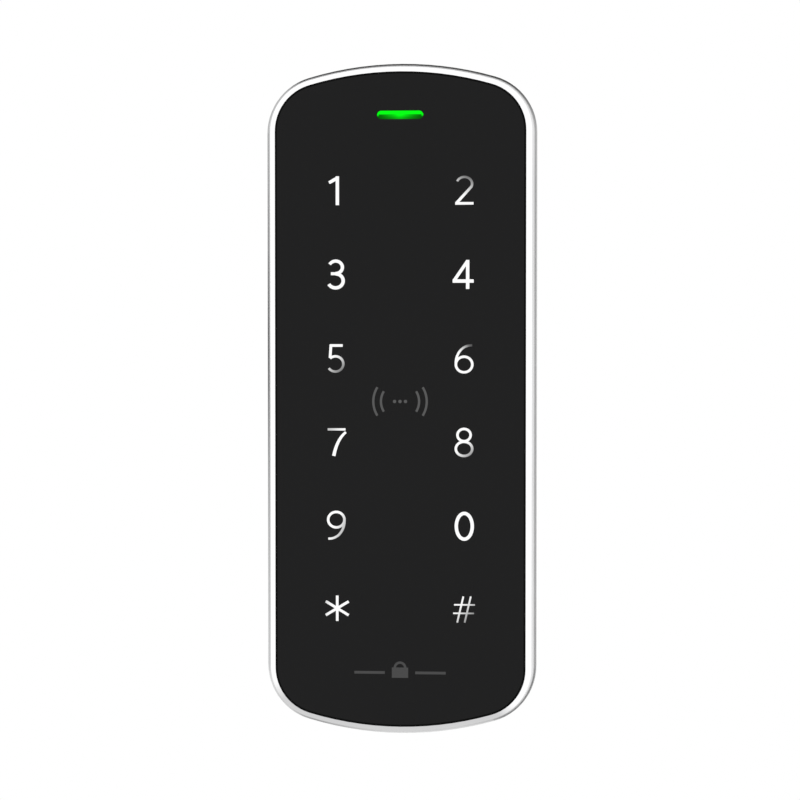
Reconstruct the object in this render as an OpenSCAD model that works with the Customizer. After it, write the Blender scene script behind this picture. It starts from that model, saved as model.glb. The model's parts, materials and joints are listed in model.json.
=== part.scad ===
// Wall keypad and card reader: a slim metal housing with a flush black touch panel,
// hung on a stamped wall plate and locked from below by one screw.
//
// Every module is drawn in a working frame with x to the right, y up and z away from
// the wall, and upright() turns it so that +Z is up and the front faces -Y.
// The origin is the centre of the pattern of wall holes, on the wall face of the plate.

/* [Body] */
// Width over the widest part of the housing
body_w = 50; // [46:0.5:60]
// Height over the widest part of the housing
body_h = 124; // [116:1:150]
// Depth from the wall to the front of the panel
body_d = 15.5; // [15:0.5:20]
// Radius of the long arcs across the top and bottom of the panel
end_r = 59.72; // [58:0.01:62]
// Radius of the panel's four corners
corner_r = 8.72; // [8.4:0.01:9.2]
// Width of the metal seen beside the panel, out to the widest part
rim_w = 2; // [1.6:0.1:3]
// Width of the polished bezel within that rim
bezel_w = 1.06; // [0.8:0.02:1.4]

/* [Panel] */
// Thickness of the touch panel
panel_t = 2; // [1.5:0.1:2.4]
// Round of the panel's front edge
panel_round = 0.2; // [0.2:0.05:0.6]
// Gap between the panel and the bezel
panel_gap = 0.22; // [0.05:0.01:0.3]
// Distance between the two columns of keys
key_col = 23.4; // [18:0.1:30]
// Distance between neighbouring rows of keys
key_row = 15.35; // [12:0.05:18]
// Height of a numeral
legend_h = 5.3; // [4:0.1:7]
// Width of the heavier legend strokes
legend_stroke = 0.62; // [0.3:0.02:0.9]
// Width of the lighter legend strokes
legend_light = 0.48; // [0.3:0.02:0.9]
// Length of the status lamp
lamp_w = 8.4; // [6:0.1:12]
// Height of the status lamp
lamp_h = 1.48; // [1:0.02:2.4]
// Height of the lamp's centre above the middle of the panel
lamp_y = 52.1; // [50:0.1:54]

/* [Wall plate] */
// Width of the plate
plate_w = 36; // [34:1:38]
// Thickness of its steel
plate_t = 1; // [0.8:0.1:1.2]
// Distance across the pattern of four wall holes
wall_hole_dx = 28; // [26:1:29]
// Distance up the pattern of four wall holes
wall_hole_dy = 84; // [80:1:86]
// Diameter of a wall hole
wall_hole_d = 4.2; // [3.5:0.1:5]
// Distance between the two slots for a switch box
box_slot_dy = 83.3; // [80:0.1:84]
// How far the reader slides up to come off the hooks
lift = 4.5; // [4:0.1:4.8]

/* [Inside] */
// Thickness of the housing's back wall
back_t = 1.4; // [1.2:0.1:1.6]
// Distance from the wall to that back wall
back_z = 3.2; // [3:0.1:3.4]
// Thickness of the main board
board_t = 1; // [0.8:0.1:1.2]
// Thickness of the touch board
touch_t = 1; // [0.8:0.1:1]
// How far the tamper plunger comes out for each millimetre of lift
tamper_ratio = 0.25; // [0.2:0.01:0.3]

/* [Hidden] */
$fn = 96;

hair = 0.05;            // running clearance, and the reach of a cut past a face

// Outline: the panel opening is the line that every offset is counted from.
open_w = body_w - 2 * rim_w;
open_h = body_h - 2 * rim_w;
corner_x = open_w / 2 - corner_r;
end_y = open_h / 2 - end_r;
corner_y = end_y + sqrt(pow(end_r - corner_r, 2) - pow(corner_x, 2));
turn = atan2(corner_y - end_y, corner_x);   // angle where a corner meets an end arc

// Depths, counted from the wall.
panel_z = body_d - panel_t;
lip_z = body_d - 0.1;                       // front edge of the bezel
parting_z = body_d - 1.6;                   // bezel above, housing below
widest_z = body_d - 5.5;
shelf_z = panel_z - 0.2;                    // face that carries the panel's tape
bezel_z = shelf_z - 0.9;
ledge_z = bezel_z - 0.5;                    // ledge for the seal
skirt_z = 0.4;                              // rear edge of the housing
inside_z = back_z + back_t;
diffuser_z = panel_z - 0.3;
backlight_z = diffuser_z - 1.2;
touch_z = backlight_z - touch_t;
board_z = touch_z - 1.4 - board_t;          // rear face of the main board

// Offsets from the opening, outwards.
seat_in = -1.6;                             // inner edge of the bezel's shelf
web_out = 0.35;                             // outside of the bezel's spigot
wall_in = -0.5;                             // inner face of the housing wall
skirt_in = -1.6;                            // inner face of the skirt round the plate
skirt_out = 1;                              // outline of the housing at the wall
bezel_round = 5;                            // radius of the polished edge

// Keys, top to bottom and left to right.
LEGENDS = [["1", "2"], ["3", "4"], ["5", "6"], ["7", "8"], ["9", "0"], ["*", "#"]];
rows = len(LEGENDS);
ink_t = 0.03;

// Fasteners.
housing_screw_at = [18.3, 47.5];
board_screw_at = [13, 52];
boss_r = 2.2;
housing_boss_z = inside_z + 1.4;
lock_z = 4.5;                               // depth of the security screw's axis
lock_y = -open_h / 2 + 1.8;                 // roof of the recess that holds it
lock_r = 1.5;
tab_y = lock_y - 0.1;                       // top of the plate's tab, under that roof

// Hooks: two pairs, each a tongue on the plate and a catch on the housing.
HOOKS = [[-11, 22], [11, 22], [-11, -24], [11, -24]];
tongue_z = 1.3;
tongue_t = 0.9;
tongue_top = -0.8;
catch_t = 0.8;

// Connector bay, in the middle of the back.
bay = [26, 12];
bay_wall = 1;

// Tamper plunger.
tamper_y = 24;
tamper_top = 2.4;                           // height of the ramp on the plate
tip_gap = 0.1;
stem_r = 1.4;
collar_z = inside_z + 1.25;
collar_t = 0.8;
switch_top = collar_z + collar_t + 0.1;

module upright() { rotate([90, 0, 0]) children(); }

// Repeats a part in all four quarters of the outline.
module quarters() {
    for (sx = [0, 1], sy = [0, 1]) mirror([sx, 0, 0]) mirror([0, sy, 0]) children();
}

module at(p, z = 0) { translate([p[0], p[1], z]) children(); }

// A block centred on x and y, standing on z.
module block(size, z = 0) {
    translate([-size[0] / 2, -size[1] / 2, z]) cube(size);
}

module post(r, z0, z1) { translate([0, 0, z0]) cylinder(r = r, h = z1 - z0); }

// The wedges filled by a corner arc and by a long end arc, from their centres.
module corner_wedge() {
    reach = 2 * (end_r - corner_r);
    polygon([[0, 0], [reach, 0], [reach, reach], reach * [cos(turn), sin(turn)]]);
}

module end_wedge() {
    reach = 2 * (end_r - corner_r);
    polygon([[0, 0], reach * [cos(turn), sin(turn)], reach * [-cos(turn), sin(turn)]]);
}

// The outline, grown by g: two long end arcs, two straight sides and four round corners.
module outline(g) {
    half_w = open_w / 2 + g;
    difference() {
        square([2 * half_w, open_h + 4 * rim_w], center = true);
        quarters() translate([corner_x, corner_y]) difference() {
            corner_wedge();
            circle(corner_r + g);
        }
        for (sy = [0, 1]) mirror([0, sy]) difference() {
            translate([-half_w - 1, corner_y]) square([2 * half_w + 2, open_h]);
            translate([0, end_y]) circle(end_r + g);
        }
    }
}

// A solid plate of the outline, grown by g, from z0 to z1.
module slab(g, z0, z1) { translate([0, 0, z0]) linear_extrude(z1 - z0) outline(g); }

// A ring between two offsets, from z0 to z1.
module ring(g0, g1, z0, z1) {
    difference() {
        slab(g1, z0, z1);
        slab(g0, z0 - hair, z1 + hair);
    }
}

// Runs a profile round the outline. The profile's x is the offset outwards and its y the depth.
module run_round() {
    for (sx = [0, 1]) mirror([sx, 0, 0]) translate([open_w / 2, corner_y, 0])
        rotate([90, 0, 0]) linear_extrude(2 * corner_y) children();
    quarters() translate([corner_x, corner_y, 0]) intersection() {
        rotate_extrude() translate([corner_r, 0]) children();
        linear_extrude(body_d) corner_wedge();
    }
    for (sy = [0, 1]) mirror([0, sy, 0]) translate([0, end_y, 0]) intersection() {
        rotate_extrude() translate([end_r, 0]) children();
        linear_extrude(body_d) end_wedge();
    }
}

module band(x0, x1, y0, y1) { translate([x0, y0]) square([x1 - x0, y1 - y0]); }

// A bar with round ends, lying along x.
module pill(w, h, z0, z1) {
    block([w - h, h, z1 - z0], z0);
    for (s = [-1, 1]) translate([s * (w - h) / 2, 0, 0]) post(h / 2, z0, z1);
}

// A rectangular plate with rounded corners.
module rounded_plate(w, h, r, z0, z1) {
    difference() {
        block([w, h, z1 - z0], z0);
        quarters() translate([w / 2 - r, h / 2 - r, z0 - hair]) difference() {
            cube([r + hair, r + hair, z1 - z0 + 2 * hair]);
            translate([0, 0, -hair]) cylinder(r = r, h = z1 - z0 + 4 * hair);
        }
    }
}

// ---- Wall plate and its lock ----

module hook_window() {
    translate([-4, -6, -hair]) cube([8, 6 + 2 + lift, plate_t + 2 * hair]);
}

module hook_tongue() {
    translate([-3, -6 - hair, 0]) cube([6, 1.2 + hair, tongue_z + tongue_t]);
    translate([-3, -6, tongue_z]) cube([6, 6 + tongue_top, tongue_t]);
}

// A wedge that holds the tamper plunger in while the reader is home.
module tamper_ramp() {
    run = (tamper_top - plate_t) / tamper_ratio;
    translate([-3, tamper_y, 0]) rotate([90, 0, 90]) linear_extrude(6)
        polygon([[-3.4, plate_t - hair], [-2, tamper_top], [0, tamper_top], [run, plate_t - hair]]);
}

module mounting_plate() {
    top = 52;
    bottom = -48.5;
    color([0.72, 0.73, 0.74]) upright() difference() {
        union() {
            difference() {
                translate([0, (top + bottom) / 2, 0]) rounded_plate(plate_w, top - bottom, 4, 0, plate_t);
                for (p = HOOKS) at(p) hook_window();
            }
            for (p = HOOKS) at(p) hook_tongue();
            tamper_ramp();
            translate([-5, tab_y - plate_t, 0]) cube([10, bottom - tab_y + plate_t + 1, plate_t]);
            translate([-5, tab_y - plate_t, 0]) cube([10, plate_t, 8]);
        }
        block([bay[0] + 2, bay[1] + 2, 3], -1);
        quarters() at([wall_hole_dx, wall_hole_dy] / 2) post(wall_hole_d / 2, -1, 2);
        for (s = [-1, 1]) translate([0, s * box_slot_dy / 2, 0]) rotate([0, 0, 90])
            pill(9, 4, -1, 2);
        translate([0, lock_y + 1, lock_z]) rotate([90, 0, 0]) cylinder(r = lock_r + 0.15, h = 3);
    }
}

// Button head with a six-sided socket; the shank runs up into the housing's insert.
module security_screw() {
    head_top = tab_y - plate_t - 0.3;
    color([0.78, 0.79, 0.8]) upright() translate([0, head_top, lock_z]) rotate([90, 0, 0]) difference() {
        union() {
            intersection() {
                cylinder(r = 2.7, h = 1.6);
                translate([0, 0, 1.6 - 3.6]) sphere(r = 3.6);
            }
            translate([0, 0, -6.2]) cylinder(r = lock_r, h = 6.3);
        }
        translate([0, 0, 0.5]) cylinder(r = 1.15, h = 2, $fn = 6);
    }
}

module screw_washer() {
    color([0.12, 0.12, 0.13]) upright() translate([0, tab_y - plate_t, lock_z]) rotate([90, 0, 0])
        difference() {
            cylinder(r = 2.5, h = 0.3);
            translate([0, 0, -hair]) cylinder(r = lock_r + hair, h = 1);
        }
}

module security_insert() {
    color([0.8, 0.65, 0.35]) upright() translate([0, lock_y + 5, lock_z]) rotate([90, 0, 0]) difference() {
        cylinder(r = 2.1, h = 5);
        translate([0, 0, -hair]) cylinder(r = lock_r + hair, h = 6);
    }
}

// ---- Housing and bezel ----

// Section of the housing's wall: two arcs that meet at the widest depth.
module wall_section() {
    front_h = parting_z - hair - widest_z;
    front_in = rim_w - bezel_w + 0.03;
    front_r = (pow(front_h, 2) + pow(front_in, 2)) / (2 * front_in);
    rear_h = widest_z - skirt_z;
    rear_in = rim_w - skirt_out;
    rear_r = (pow(rear_h, 2) + pow(rear_in, 2)) / (2 * rear_in);
    difference() {
        union() {
            intersection() {
                band(skirt_in, rim_w, widest_z, parting_z - hair);
                translate([rim_w - front_r, widest_z]) circle(front_r);
            }
            intersection() {
                band(skirt_in, rim_w, skirt_z, widest_z);
                translate([rim_w - rear_r, widest_z]) circle(rear_r);
            }
        }
        band(skirt_in - 1, wall_in, inside_z, ledge_z + 1);
        band(skirt_in - 1, web_out + hair, ledge_z, parting_z + 1);
    }
}

module catch() {
    translate([-2.6, tongue_top + 0.1, skirt_z]) cube([5.2, 2, back_z - skirt_z + hair]);
    translate([-2.6, tongue_top + 0.1 - 3.6, skirt_z]) cube([5.2, 3.7, catch_t]);
}

module rear_housing() {
    color([0.8, 0.8, 0.81]) upright() difference() {
        union() {
            run_round() wall_section();
            slab(-1, back_z, inside_z);
            for (p = HOOKS) at(p) catch();
            quarters() at(housing_screw_at) post(boss_r + 0.3, back_z + hair, housing_boss_z);
            block([bay[0] + 2 * bay_wall, bay[1] + 2 * bay_wall, board_z - 0.5 - back_z - hair],
                back_z + hair);
            // block and boss round the security screw
            translate([-7.5, lock_y - 2, back_z + hair]) cube([15, 3.5, lock_z + 5.7 - back_z]);
            translate([0, lock_y + 5.6, lock_z]) rotate([90, 0, 0]) cylinder(r = 3.2, h = 6);
        }
        block([bay[0], bay[1], 20], 0);
        quarters() at(housing_screw_at) {
            post(2, back_z - 1, back_z + 1.4);
            post(1.1, back_z, housing_boss_z + 1);
        }
        translate([0, tamper_y, 0]) post(stem_r + hair, back_z - 1, inside_z + 1);
        translate([-6, lock_y - 6, -1]) cube([12, 6, 1 + 8.6]);
        translate([0, lock_y + 5, lock_z]) rotate([90, 0, 0]) cylinder(r = 2.1 + 0.02, h = 8);
    }
}

// Section of the bezel's polished round edge.
module bezel_section() {
    edge = [[0, lip_z], [bezel_w, parting_z]];
    half = norm(edge[1] - edge[0]) / 2;
    along = (edge[1] - edge[0]) / (2 * half);
    middle = (edge[0] + edge[1]) / 2;
    centre = middle - sqrt(pow(bezel_round, 2) - pow(half, 2)) * [-along[1], along[0]];
    intersection() {
        band(0, rim_w, parting_z, body_d);
        translate(centre) circle(bezel_round);
    }
}

module bezel_frame() {
    ear = [2 * boss_r, 6, shelf_z - bezel_z];
    color([0.88, 0.88, 0.89]) upright() difference() {
        union() {
            run_round() bezel_section();
            ring(0, web_out, bezel_z, parting_z);
            ring(seat_in, web_out, bezel_z, shelf_z);
            quarters() {
                at(board_screw_at) post(boss_r, board_z + board_t, shelf_z);
                at(board_screw_at + [0, 3]) block(ear, bezel_z);
                at(housing_screw_at) post(boss_r, housing_boss_z, shelf_z);
                at(housing_screw_at + [2, 0]) block([4, 2 * boss_r, ear[2]], bezel_z);
            }
        }
        quarters() {
            at(board_screw_at) post(1, 0, bezel_z - 0.6);
            at(housing_screw_at) post(1.02, 0, bezel_z - 0.6);
        }
    }
}

module housing_seal() {
    color([0.2, 0.2, 0.21]) upright() ring(wall_in + hair, web_out, ledge_z, bezel_z);
}

// ---- Panel and what is on it ----

module front_panel() {
    g = -panel_gap;
    color([0.02, 0.02, 0.022]) upright() difference() {
        union() {
            slab(g, panel_z, body_d - panel_round);
            slab(g - panel_round, panel_z, body_d);
            run_round() intersection() {
                band(g - panel_round, g, body_d - panel_round, body_d);
                translate([g - panel_round, body_d - panel_round]) circle(panel_round);
            }
        }
        translate([0, lamp_y, 0]) pill(lamp_w + 0.1, lamp_h + 0.1, panel_z - 1, body_d + 1);
    }
}

// One straight stroke of a legend, from p to q.
module stroke(p, q, w = legend_stroke) {
    d = q - p;
    translate([p[0], p[1], 0]) rotate([0, 0, atan2(d[1], d[0])]) translate([0, -w / 2, 0])
        cube([norm(d), w, ink_t]);
}

// One curved stroke of a legend, round c from angle a0 to a1.
module bow(c, r, a0, a1, w = legend_stroke) {
    translate([c[0], c[1], 0]) rotate([0, 0, a0]) rotate_extrude(angle = a1 - a0)
        translate([r - w / 2, 0]) square([w, ink_t]);
}

module loop_with_tail() {
    bow([0, -1.1], 1.5, 0, 360, legend_light);
    bow([1.5, -0.75], 3, 96, 180, legend_light);
}

// The strokes of a legend, drawn for a numeral 5.4 high and scaled to legend_h.
module legend(mark) {
    if (mark == "1") {
        stroke([0.2, -2.7], [0.2, 2.7]);
        stroke([-1.3, 1.5], [0.2, 2.4]);
    }
    if (mark == "2") {
        bow([0.05, 1.12], 1.34, -38, 160, legend_light);
        stroke([1.14, 0.34], [-1.35, -2.35], legend_light);
        stroke([-1.65, -2.46], [1.7, -2.46], legend_light);
    }
    if (mark == "3") {
        bow([-0.1, 1.2], 1.2, -80, 145);
        bow([-0.15, -1.15], 1.24, -145, 80);
        stroke([-0.95, 0.02], [0.2, 0.02], 0.58);
    }
    if (mark == "4") {
        stroke([0.65, -2.7], [0.65, 2.7]);
        stroke([0.6, 2.4], [-1.75, -1.1]);
        stroke([-2, -1.25], [1.75, -1.25]);
    }
    if (mark == "5") {
        stroke([-1.15, 2.4], [1.2, 2.4], legend_light);
        stroke([-1, 2.5], [-1.15, 0.1], legend_light);
        bow([-0.2, -1], 1.45, -140, 128, legend_light);
    }
    if (mark == "6") loop_with_tail();
    if (mark == "7") {
        stroke([-1.6, 2.4], [1.65, 2.4], legend_light);
        stroke([1.45, 2.5], [-0.5, -2.7]);
    }
    if (mark == "8") {
        bow([0, 1.32], 1.12, 0, 360, legend_light);
        bow([0, -1.1], 1.36, 0, 360, legend_light);
    }
    if (mark == "9") rotate([0, 0, 180]) loop_with_tail();
    if (mark == "0") {
        bow([0.1, 1], 1.4, 0, 180);
        bow([0.1, -1], 1.4, 180, 360);
        for (s = [-1, 1]) stroke([s * 1.4 + 0.1, -1], [s * 1.4 + 0.1, 1]);
    }
    if (mark == "*") for (a = [30, 90, 150]) stroke(-2.38 * [cos(a), sin(a)], 2.38 * [cos(a), sin(a)], 0.56);
    if (mark == "#") for (s = [-1, 1]) {
        stroke([0.7 * s - 0.45, -2.38], [0.7 * s + 0.55, 2.38], 0.38);
        stroke([-1.88 + 0.1 * s, 0.76 * s + 0.1], [1.86 + 0.1 * s, 0.76 * s + 0.1], 0.36);
    }
}

// Puts a part on every key, with $mark set to the key's legend.
module each_key(z) {
    for (row = [0 : rows - 1], col = [0, 1]) {
        $mark = LEGENDS[row][col];
        translate([(col - 0.5) * key_col, ((rows - 1) / 2 - row) * key_row, z]) children();
    }
}

module key_legends() {
    color([0.95, 0.95, 0.95]) upright() each_key(body_d) scale(legend_h / 5.4) legend($mark);
}

// Two waves each side of three dots.
module card_symbol() {
    color([0.35, 0.35, 0.35]) upright() translate([0, -0.2, body_d]) {
        for (side = [0, 180], r = [3.5, 4.9]) bow([0, 0], r, side - 32, side + 32, 0.42);
        for (x = [-1, 0, 1]) translate([x, 0, 0]) cylinder(r = 0.31, h = ink_t);
    }
}

// A plain padlock between two short bars.
module lock_symbol() {
    color([0.26, 0.26, 0.26]) upright() translate([0, -50, body_d]) {
        block([3, 1.9, ink_t]);
        bow([0, 0.9], 0.95, 0, 180, 0.45);
        for (s = [-1, 1]) translate([s * 5.6, 0, 0]) block([5.6, 0.5, ink_t]);
    }
}

module status_lens() {
    color([0.1, 0.9, 0.2, 0.8]) upright() translate([0, lamp_y, 0]) {
        pill(lamp_w, lamp_h, board_z + board_t + 1, body_d - 0.1);
        pill(lamp_w + 2.4, lamp_h + 2, panel_z - 0.8, panel_z);
    }
}

module panel_tape() {
    color([0.1, 0.1, 0.1]) upright() ring(seat_in + 0.1, -panel_gap - 0.1, shelf_z, panel_z);
}

module diffuser_sheet() {
    color([0.93, 0.93, 0.9, 0.8]) upright() rounded_plate(41, 88, 2, diffuser_z, diffuser_z + 0.25);
}

// White frame with a light chamber behind each key.
module backlight_frame() {
    color([0.95, 0.95, 0.95]) upright() difference() {
        rounded_plate(41, 88, 2, backlight_z, diffuser_z);
        each_key(0) block([9, 9, 5], backlight_z - 1);
    }
}

module backlight_lamps() {
    color([0.98, 0.95, 0.75]) upright() each_key(backlight_z) for (s = [-1, 1])
        translate([s * 2.2, 0, 0]) block([1.6, 0.8, 0.5]);
}

module touch_pads() {
    color([0.85, 0.55, 0.3]) upright() each_key(touch_z - 0.04) rounded_plate(11, 11, 2, 0, 0.04);
}

module touch_board() {
    color([0.05, 0.25, 0.15]) upright() rounded_plate(41.6, 88, 2, touch_z, backlight_z);
}

module touch_controller() {
    color([0.08, 0.08, 0.09]) upright() translate([0, 0, touch_z - 0.8]) block([6, 6, 0.8]);
}

module antenna_coil() {
    color([0.72, 0.38, 0.2]) upright() difference() {
        rounded_plate(40, 62, 5, touch_z - 1.04, touch_z - 0.04);
        rounded_plate(36.8, 58.8, 3.4, touch_z - 2, touch_z + 1);
    }
}

// ---- Main board ----

module main_board() {
    reach = 55.8;
    color([0.04, 0.28, 0.17]) upright() difference() {
        intersection() {
            slab(-1.3, board_z, board_z + board_t);
            block([body_w, 2 * reach, 20]);
        }
        quarters() {
            at(housing_screw_at) post(boss_r + 0.25, 0, 20);
            at(board_screw_at) post(1.1, 0, 20);
        }
    }
}

// Stands a part on the rear face of the main board.
module on_back(p, size) {
    translate([p[0], p[1], board_z - size[2]]) block(size);
}

module link_plug() {
    color([0.85, 0.83, 0.75]) upright() translate([0, -37, touch_z - 0.74]) block([12, 3.4, 0.7]);
}

module link_socket() {
    color([0.15, 0.15, 0.16]) upright() translate([0, -37, board_z + board_t]) block([12, 3.4, 0.66]);
}

module status_lamps() {
    color([0.9, 0.95, 0.9]) upright() for (x = [-2.4, 0, 2.4])
        translate([x, lamp_y, board_z + board_t]) block([1.4, 1.4, 0.7]);
}

module processor() {
    color([0.07, 0.07, 0.08]) upright() on_back([0, -27], [10, 10, 1.4]);
}

module card_reader_chip() {
    color([0.07, 0.07, 0.08]) upright() on_back([-12, 13.5], [6, 6, 0.9]);
}

module memory_chip() {
    color([0.07, 0.07, 0.08]) upright() on_back([-1, -40.5], [5, 4, 1.5]);
}

module clock_crystal() {
    color([0.8, 0.8, 0.8]) upright() on_back([0, -18], [5, 3.2, 1.2]);
}

module power_inductor() {
    color([0.2, 0.2, 0.22]) upright() on_back([13, 14], [6, 6, 3]);
}

module power_capacitors() {
    color([0.75, 0.75, 0.77]) upright() for (x = [8, 14])
        translate([x, 33, board_z - 3.6]) cylinder(r = 2.5, h = 3.6);
}

// Two rows of chip resistors and capacitors beside the processor, and one by the reader chip.
module small_parts() {
    color([0.55, 0.45, 0.3]) upright() {
        for (s = [-1, 1], i = [0 : 5]) on_back([7.4 * s, -31.5 + 1.8 * i], [1.6, 0.8, 0.6]);
        for (i = [0 : 4]) on_back([-16 + 2 * i, 19.5], [0.8, 1.6, 0.6]);
        for (i = [0 : 5]) on_back([-8.5 + 2 * i, 40.5], [0.8, 1.6, 0.6]);
    }
}

module lock_relay() {
    color([0.9, 0.88, 0.82]) upright() on_back([14.5, -29], [8, 14, 3.7]);
}

module sounder() {
    color([0.05, 0.05, 0.05]) upright() translate([-13.5, -30, 0]) difference() {
        post(4.8, board_z - 3.4, board_z);
        post(0.9, 0, board_z - 2.4);
    }
}

// An open-topped socket with room for a plug.
module wire_socket(w) {
    depth = board_z - inside_z - 0.1;
    difference() {
        block([w, 4.6, depth]);
        block([w - 1, 3.4, depth], -0.8);
    }
}

// A row of square pins, 2 mm apart, standing in a socket.
module pin_row(count) {
    for (i = [0 : count - 1]) translate([2 * i - (count - 1), 0, 0]) block([0.5, 0.5, 2.2]);
}

module harness_socket() {
    color([0.93, 0.91, 0.84]) upright() translate([0, 2.9, inside_z + 0.1]) wire_socket(22);
}

module harness_pins() {
    color([0.85, 0.75, 0.4]) upright() translate([0, 2.9, board_z - 3]) pin_row(10);
}

module power_socket() {
    color([0.93, 0.91, 0.84]) upright() translate([-5, -2.9, inside_z + 0.1]) wire_socket(12);
}

module power_pins() {
    color([0.85, 0.75, 0.4]) upright() translate([-5, -2.9, board_z - 3]) pin_row(5);
}

module bay_gasket() {
    color([0.15, 0.15, 0.16]) upright() difference() {
        block([bay[0] + 2 * bay_wall, bay[1] + 2 * bay_wall, 0.5], board_z - 0.5);
        block([bay[0], bay[1], 2], board_z - 1);
    }
}

module rating_label() {
    color([0.85, 0.85, 0.85]) upright() translate([0, -30, back_z - 0.1]) block([14, 24, 0.1]);
}

// Pan head from the rear, shank towards the front.
module pan_screw(head_z, length) {
    difference() {
        union() {
            post(1.75, head_z, head_z + 1.1);
            post(0.98, head_z + 1, head_z + 1.1 + length);
        }
        translate([0, 0, head_z - 1]) cylinder(r = 0.75, h = 1.6, $fn = 6);
    }
}

module housing_screws() {
    color([0.6, 0.6, 0.62]) upright() quarters() at(housing_screw_at) pan_screw(back_z + 0.3, 6);
}

module board_screws() {
    color([0.6, 0.6, 0.62]) upright() quarters() at(board_screw_at) pan_screw(board_z - 1.1, 2.6);
}

// ---- Tamper alarm ----

module tamper_switch() {
    color([0.1, 0.1, 0.1]) upright() translate([0, tamper_y, 0]) {
        block([2.2, 2.2, board_z - switch_top - 0.4], switch_top + 0.4);
        post(0.6, switch_top, switch_top + 0.45);
    }
}

module tamper_plunger() {
    color([0.9, 0.9, 0.9]) upright() translate([0, tamper_y, 0]) {
        tip = tamper_top + tip_gap;
        intersection() {
            translate([0, 0, tip + stem_r]) sphere(r = stem_r);
            post(stem_r, tip, tip + stem_r);
        }
        post(stem_r, tip + stem_r, collar_z + hair);
        post(2.3, collar_z, collar_z + collar_t);
    }
}

// Points of one ring of a coil spring's wire, at turn angle a.
function wire_ring(a, coil_r, wire_r, rise, sides) = [for (i = [0 : sides - 1])
    let (b = 360 * i / sides, r = coil_r + wire_r * cos(b))
    [r * cos(a), r * sin(a), rise * a / 360 + wire_r * sin(b)]];

module tamper_spring() {
    sides = 8;
    steps_per_turn = 16;
    turns = 3;
    wire_r = 0.17;
    height = board_z - collar_z - collar_t - 0.04;
    rise = (height - 2 * wire_r) / turns;
    rings = turns * steps_per_turn;
    points = [for (k = [0 : rings]) each wire_ring(360 * k / steps_per_turn, 1.97, wire_r, rise, sides)];
    skin = [for (k = [0 : rings - 1], i = [0 : sides - 1])
        let (j = (i + 1) % sides)
        [sides * k + i, sides * k + j, sides * (k + 1) + j, sides * (k + 1) + i]];
    ends = [[for (i = [sides - 1 : -1 : 0]) i], [for (i = [0 : sides - 1]) sides * rings + i]];
    color([0.75, 0.75, 0.77]) upright() translate([0, tamper_y, collar_z + collar_t + 0.02 + wire_r])
        polyhedron(points, concat(skin, ends));
}

mounting_plate();
security_screw();
screw_washer();
rear_housing();
bezel_frame();
front_panel();
key_legends();
card_symbol();
lock_symbol();
status_lens();
panel_tape();
diffuser_sheet();
backlight_frame();
touch_board();
touch_pads();
backlight_lamps();
touch_controller();
antenna_coil();
link_plug();
link_socket();
main_board();
status_lamps();
processor();
card_reader_chip();
memory_chip();
clock_crystal();
power_inductor();
power_capacitors();
small_parts();
lock_relay();
sounder();
harness_socket();
harness_pins();
power_socket();
power_pins();
bay_gasket();
housing_seal();
security_insert();
rating_label();
housing_screws();
board_screws();
tamper_switch();
tamper_spring();
tamper_plunger();
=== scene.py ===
"""Looks of the wall keypad reader: finishes, small details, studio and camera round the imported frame."""
import json
import math

import bmesh
import bpy
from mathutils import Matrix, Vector


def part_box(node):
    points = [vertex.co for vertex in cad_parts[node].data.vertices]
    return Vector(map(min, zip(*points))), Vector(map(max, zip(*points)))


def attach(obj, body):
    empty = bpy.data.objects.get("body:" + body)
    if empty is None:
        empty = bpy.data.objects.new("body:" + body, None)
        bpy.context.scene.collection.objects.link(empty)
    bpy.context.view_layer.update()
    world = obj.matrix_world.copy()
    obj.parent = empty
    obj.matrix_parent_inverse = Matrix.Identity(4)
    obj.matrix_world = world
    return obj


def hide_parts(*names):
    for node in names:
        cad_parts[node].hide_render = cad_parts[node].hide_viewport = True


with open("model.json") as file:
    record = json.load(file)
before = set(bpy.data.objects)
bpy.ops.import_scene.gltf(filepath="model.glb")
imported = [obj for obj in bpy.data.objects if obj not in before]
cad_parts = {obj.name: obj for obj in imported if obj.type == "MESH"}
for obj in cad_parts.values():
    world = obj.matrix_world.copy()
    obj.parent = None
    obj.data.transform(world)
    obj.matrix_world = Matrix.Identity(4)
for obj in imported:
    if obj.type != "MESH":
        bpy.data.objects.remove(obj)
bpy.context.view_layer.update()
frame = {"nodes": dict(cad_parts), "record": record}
MM, MICRON = 0.001, 0.000001
nodes = frame["nodes"]


# ---------------------------------------------------------------- camera

def aim_camera():
    """A 92 mm lens on the middle of the panel, a little from the right and above."""
    low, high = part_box("front_panel")
    panel_middle = Vector((0, low.y, (low.z + high.z) / 2))
    azimuth, elevation, distance = math.radians(3.9), math.radians(1.5), 0.374
    back = Vector((math.sin(azimuth) * math.cos(elevation), -math.cos(azimuth) * math.cos(elevation),
                   math.sin(elevation)))
    data = bpy.data.cameras.new("product_camera")
    data.lens = 92  # mm
    data.sensor_width = 36
    data.clip_start = 0.01
    camera = bpy.data.objects.new("product_camera", data)
    camera.location = panel_middle + back * distance
    aim = panel_middle + Vector((0, 0, 0.07)) * MM
    camera.rotation_euler = (aim - camera.location).to_track_quat("-Z", "Y").to_euler()
    bpy.context.scene.collection.objects.link(camera)
    bpy.context.scene.camera = camera


aim_camera()


# ---------------------------------------------------------------- node helpers

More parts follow.
